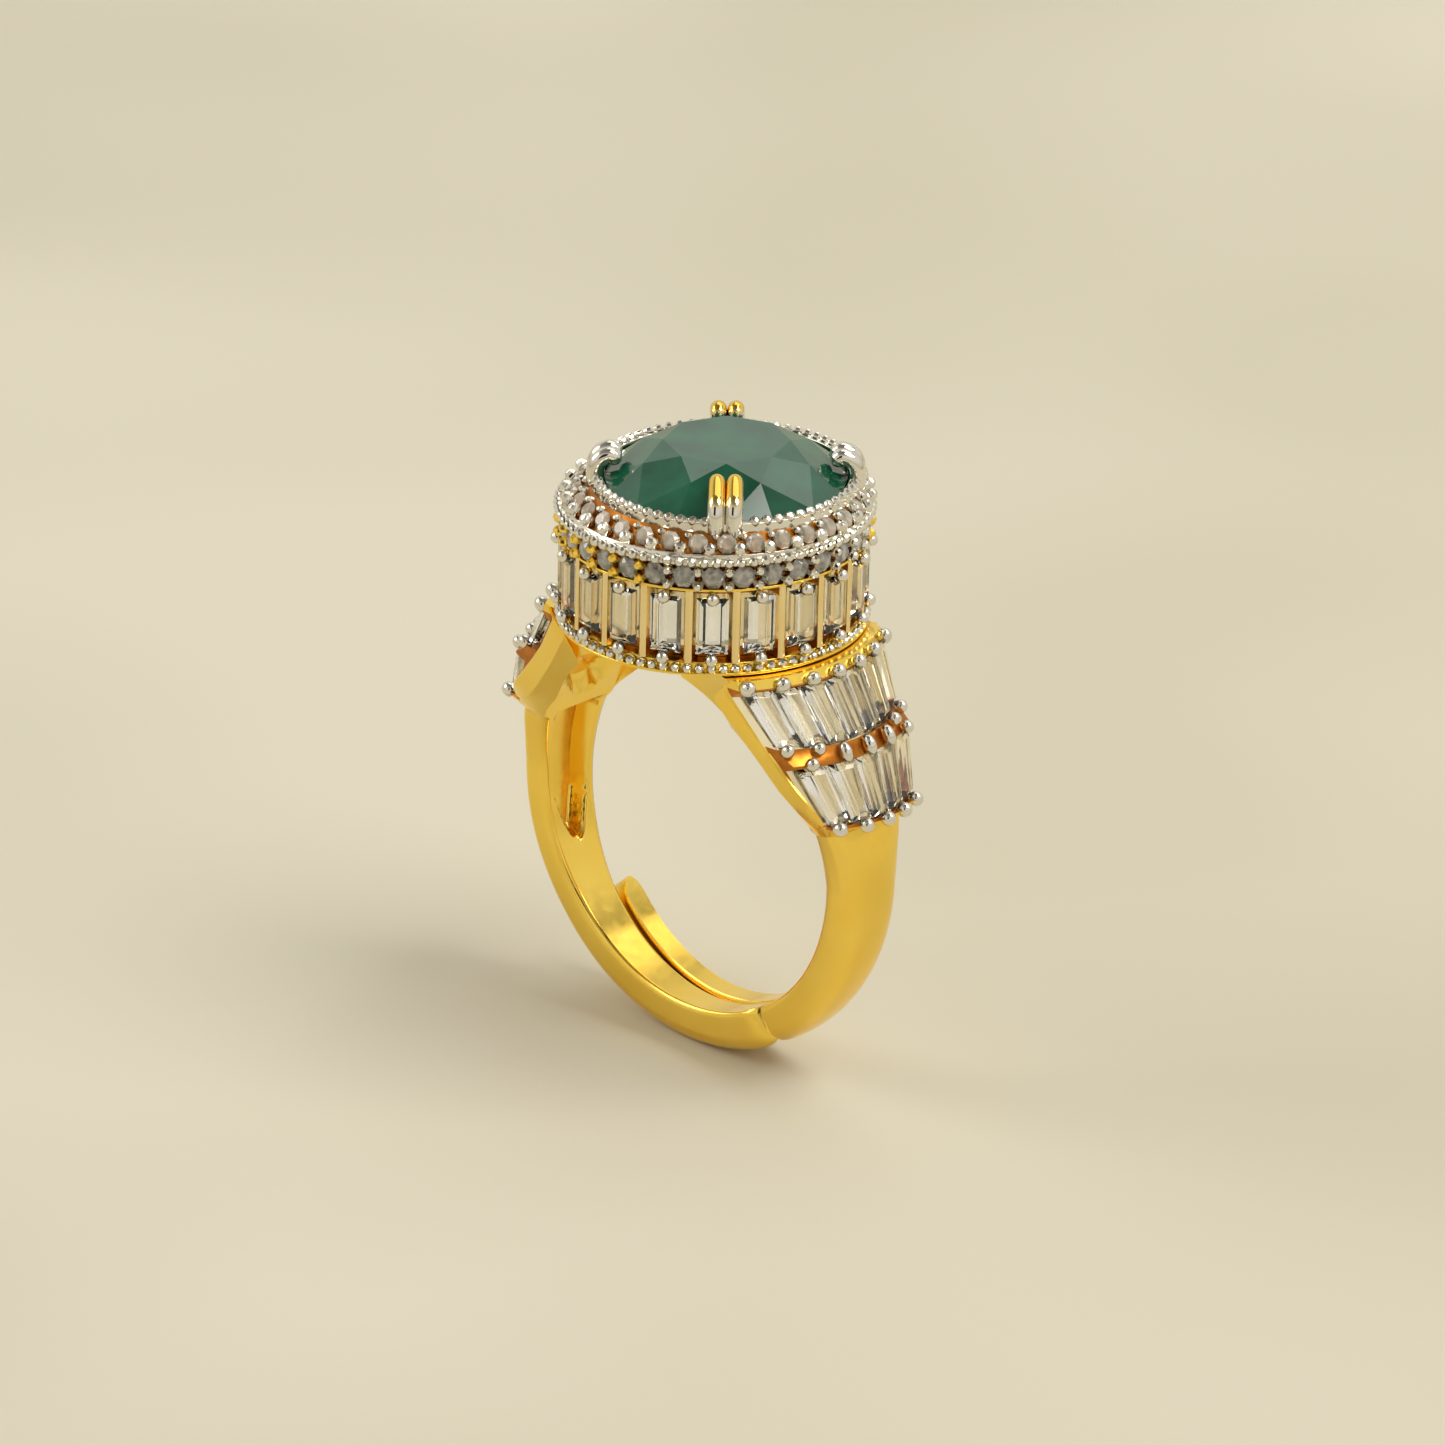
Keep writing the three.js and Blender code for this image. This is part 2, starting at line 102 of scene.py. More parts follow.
def roundedOutline(corners, radius, steps=4):
    # each corner becomes a short curve: (1-t)^2 a + 2t(1-t) corner + t^2 b
    p = np.asarray(corners, float)

    def towards(neighbour):
        side = neighbour - p
        length = np.linalg.norm(side, axis=1, keepdims=True)
        return p + side / length * np.minimum(radius, length * 0.45)

    a, b = towards(np.roll(p, 1, 0)), towards(np.roll(p, -1, 0))
    t = np.linspace(0, 1, steps + 1)[None, :, None]
    return ((1 - t)**2 * a[:, None] + 2 * t * (1 - t) * p[:, None] + t**2 * b[:, None]).reshape(-1, 2)


def addPiece(name, points, faces, material, body, slot, replaced=(), sharpAngle=30, flat=False,
             finishAndPaintedLight=None):
    # points in millimetres; faces are lists of vertex numbers; shells are closed and turned outwards;
    # the number given for each face picks a metal: 0 the piece's own, 1 rougher recess gold with painted shade,
    # 2 seat gold with painted reflected light
    mesh = bpy.data.meshes.new(name)
    faceList = [face for part in faces for face in (part.tolist() if hasattr(part, "tolist") else part)]
    mesh.from_pydata((np.asarray(points) * mm).tolist(), [], faceList)
    if finishAndPaintedLight is not None:
        mesh.polygons.foreach_set("material_index", np.asarray(finishAndPaintedLight).astype(np.int32))
    b = bmesh.new()
    b.from_mesh(mesh)
    bmesh.ops.remove_doubles(b, verts=b.verts, dist=1e-7)
    bmesh.ops.recalc_face_normals(b, faces=b.faces)
    b.to_mesh(mesh)
    b.free()
    mesh.polygons.foreach_set("use_smooth", np.full(len(mesh.polygons), not flat))
    if not flat:
        mesh.set_sharp_from_angle(angle=math.radians(sharpAngle))
    mesh.materials.append(material)
    if finishAndPaintedLight is not None:
        mesh.materials.append(roughGoldPaintedShade)
        mesh.materials.append(seatPaintedLight)
    piece = bpy.data.objects.new(name, mesh)
    bpy.context.collection.objects.link(piece)
    if isinstance(body, str):
        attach(piece, body)
    else:
        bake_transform(piece)
    if replaced:
        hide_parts(*replaced)
    return piece


def copies(points, faces, centres, axes):
    # one shape set at many places: centre + x*axis0 + y*axis1 + z*axis2
    placed = centres[:, None, :] + np.einsum("nk,mkc->mnc", points, axes)
    shift = np.arange(len(centres)) * len(points)
    many = [(part[None] + shift[:, None, None]).reshape(-1, part.shape[1]) for part in faces]
    return placed.reshape(-1, 3), many


def joined(groups):
    # several (points, faces) as one
    points, faces, count = [], [], 0
    for p, f in groups:
        points.append(p)
        faces += [part + count for part in f]
        count += len(p)
    return np.concatenate(points), faces


# materials
def noise(tree, place, size, detail):
    # noise with features of a size in millimetres
    return addNode(tree, "ShaderNodeTexNoise", {"Scale": 1 / (size * mm), "Detail": detail}, {"Vector": place})


def metalMaterial(name, s):
    # cast and buffed metal under a thin electroplate: mirror bright, with a faint haze where the
    # buffing wheel missed, slow casting waves and small drifts of colour
    material = bpy.data.materials.new(name)
    material.use_nodes = True
    tree = material.node_tree
    tree.nodes.clear()
    place = addNode(tree, "ShaderNodeTexCoord").outputs["Object"]
    drift = noise(tree, place, s["driftSize"], 2.0)
    haze = noise(tree, place, s["hazeSize"], 4.0)
    waves = noise(tree, place, s["waveSize"], 3.0)
    colour = addNode(tree, "ShaderNodeMix", {6: toLinear(s["colour"]), 7: toLinear(s["deepColour"])},
                     {0: drift.outputs["Fac"]}, data_type="RGBA")
    rough = addNode(tree, "ShaderNodeMapRange",
                    {"From Min": 0.35, "From Max": 0.7,
                     "To Min": s["roughness"][0], "To Max": s["roughness"][1]},
                    {"Value": haze.outputs["Fac"]})
    bump = addNode(tree, "ShaderNodeBump", {"Strength": s["bump"], "Distance": 0.02 * mm},
                   {"Height": waves.outputs["Fac"]})
    shader = addNode(tree, "ShaderNodeBsdfPrincipled", {"Metallic": 1.0},
                     {"Base Color": colour.outputs[2], "Roughness": rough.outputs["Result"],
                      "Normal": bump.outputs["Normal"]})
    addNode(tree, "ShaderNodeOutputMaterial", None, {"Surface": shader.outputs["BSDF"]})
    return material, tree, colour, shader


def twoToneMaterial(name, s):
    # claws: bright rhodium that has been left off, or worn away, on the tips, where the gold shows
    material, tree, colour, shader = metalMaterial(name, s)
    place = addNode(tree, "ShaderNodeTexCoord").outputs["Object"]
    height = addNode(tree, "ShaderNodeSeparateXYZ", None, {"Vector": place}).outputs["Z"]
    patch = noise(tree, place, 0.8, 2.0)
    wobble = addNode(tree, "ShaderNodeMath", {1: 0.5 * mm}, {0: patch.outputs["Fac"]}, operation="MULTIPLY")
    level = addNode(tree, "ShaderNodeMath", None, {0: height, 1: wobble.outputs[0]}, operation="ADD")
    worn = addNode(tree, "ShaderNodeMapRange", {"From Min": s["wornFrom"] * mm, "From Max": s["wornTo"] * mm},
                   {"Value": level.outputs[0]}, interpolation_type="SMOOTHSTEP")
    mix = addNode(tree, "ShaderNodeMix", {7: toLinear(s["tipColour"])},
                  {0: worn.outputs["Result"], 6: colour.outputs[2]}, data_type="RGBA")
    tree.links.new(mix.outputs[2], shader.inputs["Base Color"])
    return material


def stoneMaterial(name, s):
    # cut and polished crystal: glass-smooth facets, with the tint drifting from stone to stone
    material = bpy.data.materials.new(name)
    material.use_nodes = True
    tree = material.node_tree
    tree.nodes.clear()
    place = addNode(tree, "ShaderNodeTexCoord").outputs["Object"]
    cloud = noise(tree, place, s["cloudSize"], s["detail"])
    ramp = addNode(tree, "ShaderNodeValToRGB", None, {"Fac": cloud.outputs["Fac"]})
    ramp.color_ramp.elements[0].position, ramp.color_ramp.elements[1].position = s["range"]
    ramp.color_ramp.elements[0].color = toLinear(s["colours"][0])
    ramp.color_ramp.elements[1].color = toLinear(s["colours"][1])
    haze = addNode(tree, "ShaderNodeMapRange", {"To Min": s["roughness"][0], "To Max": s["roughness"][1]},
                   {"Value": cloud.outputs["Fac"]})
    shader = addNode(tree, "ShaderNodeBsdfPrincipled",
                     {"IOR": s["ior"], "Transmission Weight": s["transmission"]},
                     {"Base Color": ramp.outputs["Color"], "Roughness": haze.outputs["Result"]})
    addNode(tree, "ShaderNodeOutputMaterial", None, {"Surface": shader.outputs["BSDF"]})
    return material


goldSettings = {"colour": "#ffdd6c", "deepColour": "#f9cd50", "driftSize": 2.5, "hazeSize": 0.6,
                "waveSize": 1.6, "roughness": (0.14, 0.26), "bump": 0.12}
# the recess gold is rougher, and its dark orange-brown colours are painted shade of the recesses
roughGoldPaintedShadeSettings = {**goldSettings, "colour": "#d98f38", "deepColour": "#97501a", "driftSize": 0.6,
                    "waveSize": 0.35, "roughness": (0.22, 0.42), "bump": 0.5}
# the seat gold is painted near white as reflected light seen through the stones
seatPaintedLightSettings = {**goldSettings, "colour": "#fff6dc", "deepColour": "#fae6b0", "roughness": (0.1, 0.25)}
# the bar gold is painted pale cream as highlight
barGoldPaintedHighlightSettings = {**goldSettings, "colour": "#fbe8b4", "deepColour": "#efca7c", "roughness": (0.1, 0.22)}
rhodiumSettings = {"colour": "#ebe8e0", "deepColour": "#ddd6c6", "driftSize": 1.0, "hazeSize": 0.5,
                   "waveSize": 0.9, "roughness": (0.06, 0.15), "bump": 0.1}
clawSettings = {**rhodiumSettings, "tipColour": "#f4cb5c", "wornFrom": 17.5, "wornTo": 18.1}
gold, *_ = metalMaterial("gold plated brass, polished", goldSettings)
roughGoldPaintedShade, *_ = metalMaterial("gold plated brass, rough recess with painted shade", roughGoldPaintedShadeSettings)
seatPaintedLight, *_ = metalMaterial("seat behind the stones with painted reflected light", seatPaintedLightSettings)
barGoldPaintedHighlight, *_ = metalMaterial("gallery bar gold with painted pale highlight", barGoldPaintedHighlightSettings)
rhodium, *_ = metalMaterial("rhodium plate, bright", rhodiumSettings)
clawMetal = twoToneMaterial("rhodium plate worn to gold", clawSettings)
zirconia = stoneMaterial("cubic zirconia, cut and polished",
                         {"colours": ("#ffffff", "#f8f5ec"), "cloudSize": 3.0, "detail": 1.0,
                          "range": (0.35, 0.65), "roughness": (0.0, 0.02), "ior": 1.8, "transmission": 1.0})
haloZirconia = stoneMaterial("cubic zirconia, small round brilliants of the halo",
                             {"colours": ("#fffcea", "#c9c3a8"), "cloudSize": 0.45, "detail": 1.0,
                              "range": (0.35, 0.65), "roughness": (0.0, 0.03), "ior": 2.2,
                              "transmission": 0.6})
sideZirconia = stoneMaterial("cubic zirconia, small round brilliants of the side",
                             {"colours": ("#e9e6dc", "#7b7a74"), "cloudSize": 0.4, "detail": 1.0,
                              "range": (0.35, 0.65), "roughness": (0.0, 0.03), "ior": 2.2,
                              "transmission": 0.6})
greenCrystal = stoneMaterial("cloudy green stone, faceted",
                             {"colours": ("#0b4530", "#1c6549"), "cloudSize": 2.2, "detail": 4.0,
                              "range": (0.3, 0.75), "roughness": (0.05, 0.1), "ior": 1.76,
                              "transmission": 0.0})
print("materials made")

# head
head = {"oval": 1.018, "inner": 5.5, "segments": 240, "shift": (0.32, 0.31)}
baseRim = {"low": 9.9, "lip": 10.03, "high": 10.38, "lipRadius": 6.94, "wallRadius": 6.6}
galleryRing = {"bar": 6.76, "floor": 5.86, "low": 10.4, "high": 13.8, "count": 20, "barWidth": 0.46,
               "crown": 0.14, "softness": 0.1, "ledge": 0.45, "firstStone": 45, "columns": 24}
paveBand = {"low": 13.78, "high": 15.1, "radius": 6.74, "floor": 6.35}
halo = {"radius": 6.98, "low": 15.06, "high": 15.36, "flat": 6.68, "floor": 15.3, "ridge": 15.54,
        "slopeTop": 16.26}
bezel = {"outer": 5.96, "inner": 5.46, "seat": 5.2, "low": 15.1, "top": 16.66, "seatTop": 15.9}


def headScaled(points):
    return points * np.array([1 / head["oval"], head["oval"], 1])


def shifted(points, share):
    # the setting's shift off the drum's centre, taken in part
    return points + np.multiply.outer(np.broadcast_to(share, points.shape[:1]), [*head["shift"], 0])


def ringPiece(name, corners, softness, material, slot, replaced=(), shiftFrom=99, shiftTo=100, shadedRange=None):
    # closed outline (radius, height) carried round the upright axis; the shift grows with height from
    # shiftFrom to shiftTo; the last argument is the radius range that gets the rougher recess gold with painted
    # shade
    outline = roundedOutline(corners, softness)
    count = head["segments"]
    a = np.arange(count) * 2 * math.pi / count
    r, z = outline[:, 0], outline[:, 1]
    points = np.stack([np.outer(np.cos(a), r), np.outer(np.sin(a), r), np.tile(z, (count, 1))], -1)
    points = points.reshape(-1, 3)
    points = headScaled(shifted(points, np.clip((points[:, 2] - shiftFrom) / (shiftTo - shiftFrom), 0, 1)))
    finishAndPaintedLight = None
    if shadedRange:
        middle = (r + np.roll(r, -1)) / 2
        finishAndPaintedLight = np.tile(((middle > shadedRange[0]) & (middle < shadedRange[1])).astype(int), count)
    return addPiece(name, points, [gridFaces(count, len(r), True, True)], material, "head", slot, replaced,
                    finishAndPaintedLight=finishAndPaintedLight)


rimOutline = [(head["inner"], baseRim["low"]),
              (baseRim["lipRadius"], baseRim["low"]),
              (baseRim["lipRadius"], baseRim["lip"]),
              (baseRim["wallRadius"], baseRim["lip"] + 0.05),
              (baseRim["wallRadius"], baseRim["high"]),
              (head["inner"], baseRim["high"])]
paveOutline = [(head["inner"], paveBand["low"]),
               (paveBand["radius"], paveBand["low"]),
               (paveBand["radius"], paveBand["low"] + 0.12),
               (paveBand["floor"], paveBand["low"] + 0.2),
               (paveBand["floor"], paveBand["high"] - 0.16),
               (paveBand["radius"], paveBand["high"] - 0.08),
               (paveBand["radius"], paveBand["high"]),
               (head["inner"], paveBand["high"])]
haloOutline = [(bezel["outer"] - 0.1, halo["low"]),
               (halo["radius"] - 0.06, halo["low"]),
               (halo["radius"] - 0.1, halo["high"]),
               (halo["flat"] + 0.14, halo["high"] + 0.02),
               (halo["flat"] + 0.12, halo["ridge"]),
               (halo["flat"], halo["ridge"]),
               (halo["flat"] - 0.06, halo["floor"]),
               (bezel["outer"] - 0.02, halo["slopeTop"]),
               (bezel["outer"] - 0.1, halo["slopeTop"])]
bezelOutline = [(bezel["seat"], bezel["low"]),
                (bezel["outer"], bezel["low"]),
                (bezel["outer"], bezel["top"]),
                (bezel["inner"], bezel["top"]),
                (bezel["inner"], bezel["seatTop"] + 0.2),
                (bezel["seat"], bezel["seatTop"])]
ringPiece("base_rim_band", rimOutline, 0.05, gold, "yellow_gold_plate", ["base_rim"])
ringPiece("pave_backing", paveOutline, 0.03, gold, "yellow_gold_plate", ["pave_band"],
          shadedRange=(paveBand["floor"] - 0.1, paveBand["radius"] - 0.06))
ringPiece("halo_band", haloOutline, 0.03, rhodium, "white_rhodium_plate", ["halo_plate"],
          halo["floor"], halo["slopeTop"], shadedRange=(bezel["outer"] - 0.01, halo["flat"] - 0.02))
ringPiece("bezel_cup", bezelOutline, 0.05, rhodium, "white_rhodium_plate", ["bezel_rim"], 0, 1)


def galleryWall(s):
    # radius = floor + (bar - floor) * a wave with one rounded crest for each bar
    per = s["columns"]
    count = s["count"] * per
    station = np.arange(count)
    a = station * 2 * math.pi / count + math.radians(s["firstStone"])
    fromStone = np.abs((((station + per / 2) % per) - per / 2) / per)       # 0 at a stone's middle
    fromBar = (0.5 - fromStone) * 2 * math.pi * s["bar"] / s["count"]        # mm from a bar's middle
    halfWidth = s["barWidth"] / 2
    bar = 1 - smooth((fromBar - halfWidth + 0.4 * s["softness"]) / s["softness"])
    crown = s["crown"] * np.clip(fromBar / halfWidth, 0, 1) ** 2
    outer = s["floor"] + (s["bar"] - s["floor"] - crown) * bar
    inner = np.full(count, head["inner"])
    heights = [s["low"], s["low"] + s["ledge"], s["high"] - s["ledge"], s["high"]]
    loop = [(outer, z) for z in heights] + [(inner, z) for z in heights[::-1]]
    rings = [np.stack([r * np.cos(a), r * np.sin(a), np.full(count, z)], -1) for r, z in loop]
    # ledges and side walls get the rougher recess gold with painted shade; the floor behind each stone's middle
    # gets painted reflected light
    finishAndPaintedLight = np.repeat(np.where(bar > 0.98, 0, 1)[:, None], len(loop), 1)
    finishAndPaintedLight[:, 1] *= 2
    points = np.stack(rings, 1).reshape(-1, 3)
    return headScaled(points), [gridFaces(count, len(loop), True, True)], finishAndPaintedLight.ravel()


points, faces, finishAndPaintedLight = galleryWall(galleryRing)
# the bars' own metal is the gold painted pale cream as highlight
addPiece("gallery_bars", points, faces, barGoldPaintedHighlight, "head", "yellow_gold_plate", ["gallery_frame"],
         finishAndPaintedLight=finishAndPaintedLight)
print("rims and gallery made")


# repeated shapes
def beadShape(columns, rows):
    # ball: cos(v)cos(u), cos(v)sin(u), sin(v), with single points at its poles
    v = (np.arange(1, rows) / rows - 0.5) * math.pi
    u = np.arange(columns) * 2 * math.pi / columns
    grid = np.stack([np.outer(np.cos(v), np.cos(u)), np.outer(np.cos(v), np.sin(u)),
                     np.repeat(np.sin(v)[:, None], columns, 1)], -1).reshape(-1, 3)
    points = np.concatenate([grid, [[0, 0, -1], [0, 0, 1]]])
    j = np.arange(columns)
    k = (j + 1) % columns
    last = (rows - 2) * columns
    low = np.stack([k, j, np.full(columns, len(grid))], -1)
    high = np.stack([last + j, last + k, np.full(columns, len(grid) + 1)], -1)
    return points, [gridFaces(rows - 1, columns, False, True), low, high]


def roundGem(sides=8):
    # round brilliant of unit girdle radius: table, crown mains, girdle and a pointed pavilion
    u = np.arange(sides) * 2 * math.pi / sides

    def circle(r, z, turn=0.0):
        return np.stack([r * np.cos(u + turn), r * np.sin(u + turn), np.full(sides, z)], -1)

    half = math.pi / sides
    points = np.concatenate([circle(0.56, 0.34), circle(1, 0, half), circle(1, -0.05, half),
                             [[0, 0, -0.85]]])
    j = np.arange(sides)
    k = (j + 1) % sides
    table = [j.tolist()]
    star = np.stack([j, k, sides + j], -1)
    mains = np.stack([k, sides + k, sides + j], -1)
    girdle = np.stack([sides + j, 2 * sides + j, 2 * sides + k, sides + k], -1)
    pavilion = np.stack([2 * sides + j, np.full(sides, 3 * sides), 2 * sides + k], -1)
    return points, [np.array(table), star, mains, girdle, pavilion]


def placesOnHead(angles, radius, height, tilt, size, share=0.0):
    # local x runs round the head, y up the surface, z away from it
    a = np.radians(np.asarray(angles, float))
    t = math.radians(tilt)
    zero = np.zeros_like(a)
    onCircle = np.stack([radius * np.cos(a), radius * np.sin(a), zero + height], -1)
    centres = headScaled(shifted(onCircle, share))
    out = np.stack([np.cos(a) * math.cos(t), np.sin(a) * math.cos(t), zero + math.sin(t)], -1)
    across = np.stack([-np.sin(a), np.cos(a), zero], -1)
    up = np.cross(out, across)
    axes = np.stack([across * size[0], up * size[1], out * size[2]], 1)
    return centres, axes


beads = beadShape(8, 6)
bigBead = beadShape(14, 8)
gem = roundGem()

# Angles round the head, in degrees from +X
clawGap = 8
roundStones = 32
baseLine = np.arange(80) * 4.5
bezelLine = np.arange(67) * 360 / 67
bezelLine = bezelLine[np.abs((bezelLine % 90) - 45) > clawGap]
stonePitch = 360 / roundStones
haloAngles = -42.1 + stonePitch * np.arange(roundStones)
paveAngles = -45 + stonePitch * np.arange(roundStones)
haloBeadAngles = haloAngles + stonePitch / 2
paveBeadAngles = paveAngles + stonePitch / 2
galleryAngles = galleryRing["firstStone"] + 360 / galleryRing["count"] * np.arange(galleryRing["count"])

# Rows of small beads: angles, circle, height, lean, size and share of the setting's shift
beadRows = {"milgrain_base": (baseLine, 6.77, 10.17, 0, (0.235, 0.235, 0.235), 0),
            "milgrain_halo": (baseLine + 1, 6.88, 15.22, 0, (0.25, 0.25, 0.25), 0),
            "milgrain_bezel": (bezelLine, 5.78, 16.66, 50, (0.25, 0.25, 0.25), 1),
            "halo_beads_outer": (haloBeadAngles, 6.64, 15.74, 40, (0.33, 0.33, 0.38), 0.3),
            "halo_beads_inner": (haloBeadAngles, 6.14, 16.08, 34, (0.2, 0.2, 0.34), 0.8)}
sideBeads = {"radius": 6.72, "heights": (14.76, 14.1), "size": (0.27, 0.27, 0.42), "goldFrom": -150,
             "goldSpan": 77}
galleryBeads = {"radius": 6.88, "heights": (13.5, 10.64), "size": (0.3, 0.3, 0.34)}
haloStones = (haloAngles, 6.38, 15.9, 34, (0.45, 0.45, 0.5), 0.5)
paveStones = (paveAngles, 6.7, 14.44, 0, (0.53, 0.53, 0.5))


def beadPairs(shape, angles, s):
    # an upper and a lower row
    return joined([copies(*shape, *placesOnHead(angles, s["radius"], height, 0, s["size"]))
                   for height in s["heights"]])


for name, places in beadRows.items():
    addPiece(name, *copies(*beads, *placesOnHead(*places)), rhodium, "head", "white_rhodium_plate")
# the plating of the side beads is gold over part of each half
golden = (paveBeadAngles - sideBeads["goldFrom"]) % 180 < sideBeads["goldSpan"]
addPiece("pave_beads_white", *beadPairs(beads, paveBeadAngles[~golden], sideBeads), rhodium, "head",
         "white_rhodium_plate")
addPiece("pave_beads_gold", *beadPairs(beads, paveBeadAngles[golden], sideBeads), gold, "head",
         "yellow_gold_plate")
for name, places, material in (("halo_stones", haloStones, haloZirconia),
                               ("pave_stones", paveStones, sideZirconia)):
    addPiece(name, *copies(*gem, *placesOnHead(*places)), material, "head", "clear_stone", flat=True)
addPiece("gallery_beads", *beadPairs(bigBead, galleryAngles, galleryBeads), rhodium, "head",
         "white_rhodium_plate")
print("beads and round stones made")


# step-cut stones
def stepCut(corners, out, s):
    # four girdle corners per stone (m, 4, 3); each layer is drawn in along its own edges and set down
    # by its depth; the last layer closes on a keel along the stone
    toNext = unit(np.roll(corners, -1, 1) - corners)
    toLast = unit(np.roll(corners, 1, 1) - corners)
    layers = []
    for cut, drop in s["layers"]:
        layers.append(corners + cut * (toNext + toLast) - drop * out[:, None, :])
    ends = (corners + corners[:, [1, 0, 3, 2]]) / 2
    middle = corners.mean(1, keepdims=True)
    keel = lerp(ends, middle, s["keelInset"]) - s["keelDepth"] * out[:, None, :]
    layers.append(keel)
    points = np.stack(layers, 1)                       # stones, layers, 4, 3
    count, depth = points.shape[:2]
    grid = gridFaces(depth, 4, False, True)
    table = np.array([[0, 1, 2, 3]])
    shift = (np.arange(count) * depth * 4)[:, None, None]
    return points.reshape(-1, 3), [(part[None] + shift).reshape(-1, 4) for part in (grid, table)]


baguette = {"width": 1.42, "length": 2.62, "radius": 6.86, "middle": 12.13,
            "layers": [(0.3, 0.0), (0.14, 0.08), (0.0, 0.24), (0.0, 0.3)],
            "keelInset": 0.25, "keelDepth": 0.92}


def galleryStones(s):
    a = np.radians(galleryAngles)
    out = np.stack([np.cos(a), np.sin(a), 0 * a], -1)
    across = np.stack([-np.sin(a), np.cos(a), 0 * a], -1)
    up = np.array([0, 0, 1.0])
    corners = np.stack([out * s["radius"] + across * u * s["width"] / 2
                        + up * (s["middle"] + v * s["length"] / 2)
                        for u, v in ((-1, -1), (1, -1), (1, 1), (-1, 1))], 1)
    points, faces = stepCut(corners, out, s)
    return headScaled(points), faces


galleryNames = [f"gallery_stone_{i + 1:02d}" for i in range(galleryRing["count"])]
addPiece("gallery_baguettes", *galleryStones(baguette), zirconia, "head", "clear_stone", galleryNames,
         flat=True)

# shoulders
# A tier runs from its top to its bottom corner (x, z); its edges fall back by bulge and its half width
# is along the finger
upperTier = {"top": (7.71, 9.63), "bottom": (9.51, 7.0), "bulge": (1.52, 1.53), "half": (4.6, 3.84),
             "stones": 7, "angles": (52, 45, 38.5), "first": 0.02}
lowerTier = {"top": (9.75, 6.51), "bottom": (10.94, 3.62), "bulge": (0.96, 0.76), "half": (3.7, 2.68),
             "stones": 5, "angles": (36.5, 27, 19), "first": 0.0}
# Stations under the drum: angle, x of the outside, half width, how far its edges fall back
underDrum = [(78, 1.9, 3.9, 0), (69, 3.6, 4.25, 0), (60, 5.2, 4.6, 0), (55, 7.3, 4.75, 1.5)]
shoulder = {"railSink": 0.2, "edgeSink": 0.06, "railWidth": 0.16, "railRound": 0.05, "seam": 0.03,
            "wallDepth": 1.15, "wallFlare": 0.1, "seatDepth": 0.8, "seatRange": (0.05, 0.95),
            "stoneRange": (0.06, 0.93), "stoneSink": 0.06, "stoneGap": 0.09, "fingerRadius": 8.75,
            "edgeInset": 0.75, "ledge": 9.85, "smoothBelow": 58, "goldAbove": 53}
# A window in the finger side: upper and lower angle, depth, share of the width, ribs, slope at its start
shoulderWindow = {"from": 66, "to": 22.5, "depth": 0.7, "reach": 0.8, "ribs": 0.06, "start": 14}
shankWindow = {"from": 17.5, "to": -26, "depth": 0.85, "reach": 0.82, "ribs": 0.0, "start": 1.2}
windowShape = {"point": 16, "border": 0.24, "ribPitch": 2.1, "end": 6}
shank = {"thickness": 1.75, "bottomExtra": 0.15, "top": 17.0, "roundAngle": 7.0, "flare": 1.14, "flareEnd": 4.0,
         "innerShare": 0.84, "wall": ((0.94, 0.04), (1.0, 0.16), (1.0, 0.34), (1.0, 0.48)),
         "domeBase": 0.58, "domePower": 2.5, "step": (-55.4, -56, -57.6, -58.5)}
# Each arm's edges along the finger against the angle from the horizontal; the last row is its tip
armEdges = {"right": [(17, -2.03, 2.03), (0, -1.64, 1.64), (-30, -1.55, 1.55), (-56.2, -1.45, 1.45),
                      (-57.4, 0.15, 1.45), (-90, 0.5, 1.7), (-120, 0.85, 2.05), (-139, 1.1, 2.3)],
            "left": [(17, -2.03, 2.03), (0, -1.66, 1.64), (-20, -1.3, 1.6), (-41, -0.85, 1.5),
                     (-60, -0.6, 1.5), (-90, -0.25, 1.45), (-121.5, 0.12, 1.4)]}
widthAngles = [-145, -75, -45, 0, 15, 24, 37, 50, 62, 78]
innerWidths = [1.35, 1.4, 1.5, 1.62, 1.95, 2.34, 2.93, 3.43, 3.7, 3.78]
# Points of a section: finger side, wall, outside with a three-point rim at both edges, wall
innerColumns, wallColumns, rimColumns, floorColumns = 25, 4, 3, 33
outsideColumns = floorColumns + 2 * rimColumns
floorStart = innerColumns + wallColumns + rimColumns
floorEnd = floorStart + floorColumns


def onTier(tier, s, y, sink):
    # straight from top to bottom, set in by sink along the tier's normal, the edges falling back by y^2
    (x0, z0), (x1, z1) = tier["top"], tier["bottom"]
    long = math.hypot(x1 - x0, z1 - z0)
    nx, nz = -(z1 - z0) / long, (x1 - x0) / long
    bulge, half = lerp(*tier["bulge"], s), lerp(*tier["half"], s)
    y = np.asarray(y, float)
    x = lerp(x0, x1, s) - sink * nx - bulge * (y / half) ** 2
    return np.stack(np.broadcast_arrays(x, y, lerp(z0, z1, s) - sink * nz), -1)


def fingerSide(angle, low, high, window):
    # finger side of the band: a circle of the finger's size with a smooth-edged window sunk into it,
    # pointed at its lower end; low and high are the limits along the finger
    y = np.linspace(low, high, innerColumns)
    q = np.linspace(-1, 1, innerColumns)
    shape = windowShape
    reach = window["reach"] * np.sqrt(np.clip((angle - window["to"]) / shape["point"], 0, 1))
    side = smooth((reach - np.abs(q)) / shape["border"])
    ribs = 1 - window["ribs"] * (0.5 + 0.5 * np.cos(2 * math.pi * y / shape["ribPitch"]))
    ends = smooth((window["from"] - angle) / window["start"]) * smooth((angle - window["to"]) / shape["end"])
    r = shoulder["fingerRadius"] + window["depth"] * ends * side * ribs
    return np.stack([r * math.cos(math.radians(angle)), y, r * math.sin(math.radians(angle))], -1)


